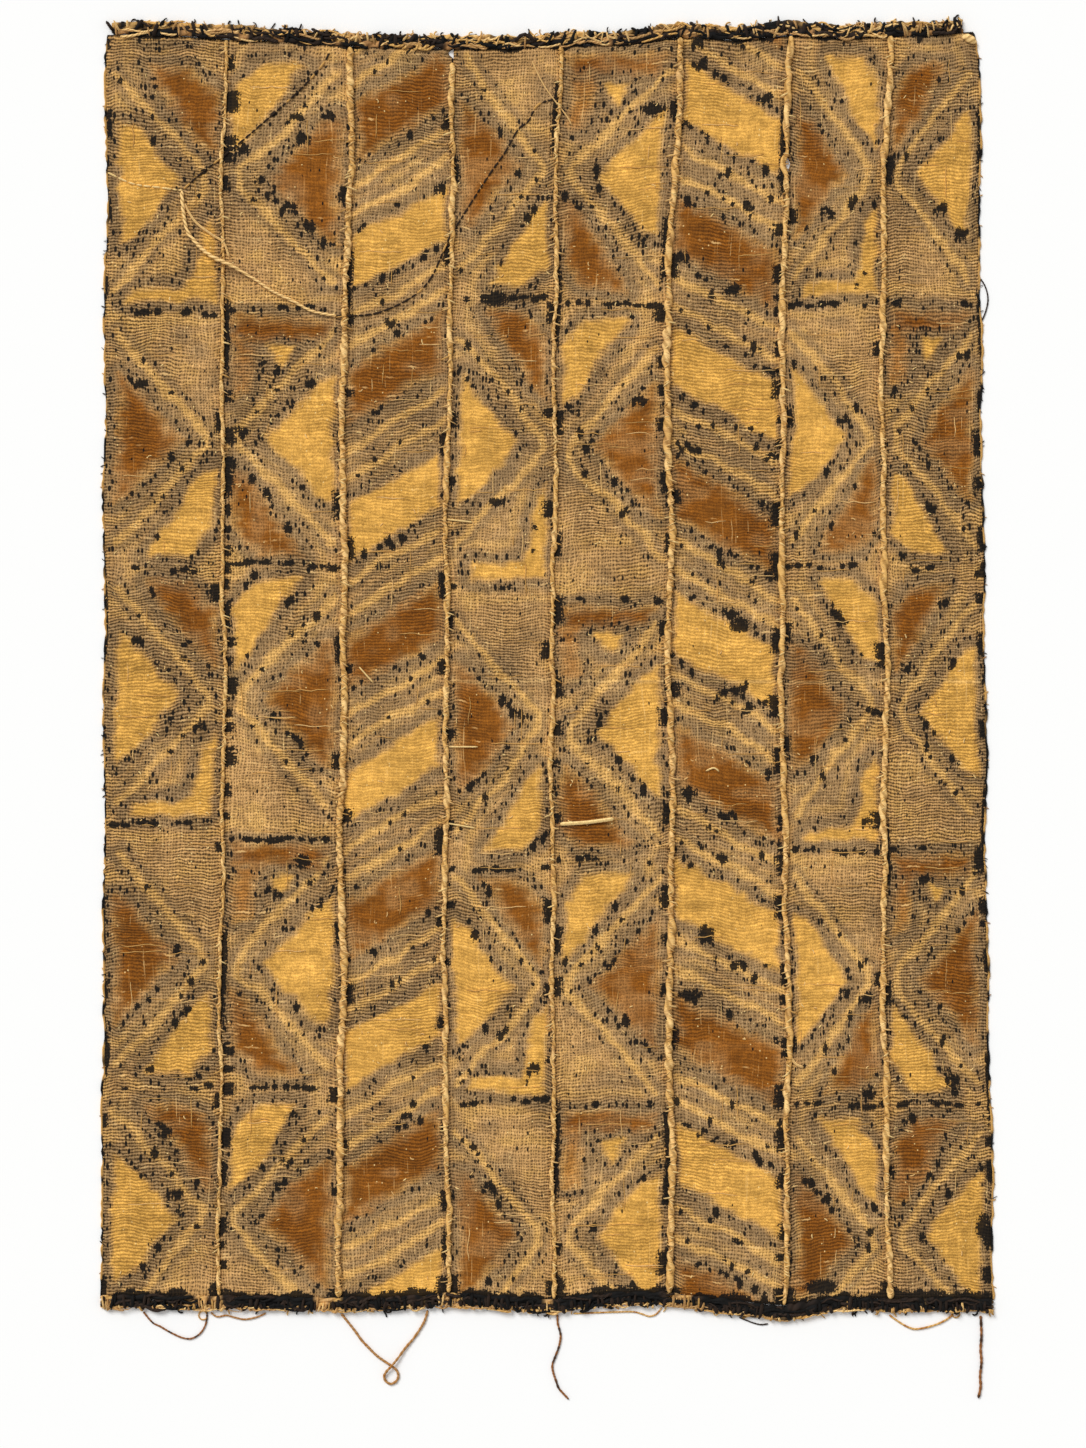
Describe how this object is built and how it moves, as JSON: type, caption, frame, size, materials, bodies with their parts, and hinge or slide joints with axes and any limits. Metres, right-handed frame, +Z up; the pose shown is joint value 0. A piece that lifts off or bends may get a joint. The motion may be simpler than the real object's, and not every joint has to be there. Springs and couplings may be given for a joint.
{
  "type": "mud cloth",
  "caption": "Flat handwoven cotton cloth of narrow strips sewn edge to edge, with rope-like whipped seams, overcast ends, a mending cord and loose sewing threads.",
  "frame": {"origin": "on the surface that the cloth lies on, under the middle of the cloth without its loose threads", "axes": "+Y runs to the top of the cloth as seen on its face, +X to its right, +Z up out of its face"},
  "size_m": [1.0177, 1.5758, 0.0125],
  "materials": {
    "woven_cotton": "coarse handwoven cotton, dyed gold and brown and painted with black mud",
    "seam_yarn": "pale undyed cotton yarn, whipped over each joint",
    "edge_yarn": "black and tan cotton yarn, overcast and frayed",
    "mending_yarn": "pale plied cotton cord",
    "loose_thread": "brown and black sewing thread"
  },
  "bodies": {
    "root": {"strip_1": "woven_cotton", "strip_2": "woven_cotton", "strip_3": "woven_cotton", "strip_4": "woven_cotton", "strip_5": "woven_cotton", "strip_6": "woven_cotton", "strip_7": "woven_cotton", "strip_8": "woven_cotton", "seam_1": "seam_yarn", "seam_2": "seam_yarn", "seam_3": "seam_yarn", "seam_4": "seam_yarn", "seam_5": "seam_yarn", "seam_6": "seam_yarn", "seam_7": "seam_yarn", "edging_top": "edge_yarn", "edging_foot": "edge_yarn", "mending_cord": "mending_yarn", "thread_1": "loose_thread", "thread_2": "loose_thread", "thread_3": "loose_thread", "thread_4": "loose_thread", "thread_5": "loose_thread", "thread_6": "loose_thread", "thread_7": "loose_thread", "thread_8": "loose_thread", "thread_9": "loose_thread"}
  },
  "joints": []
}
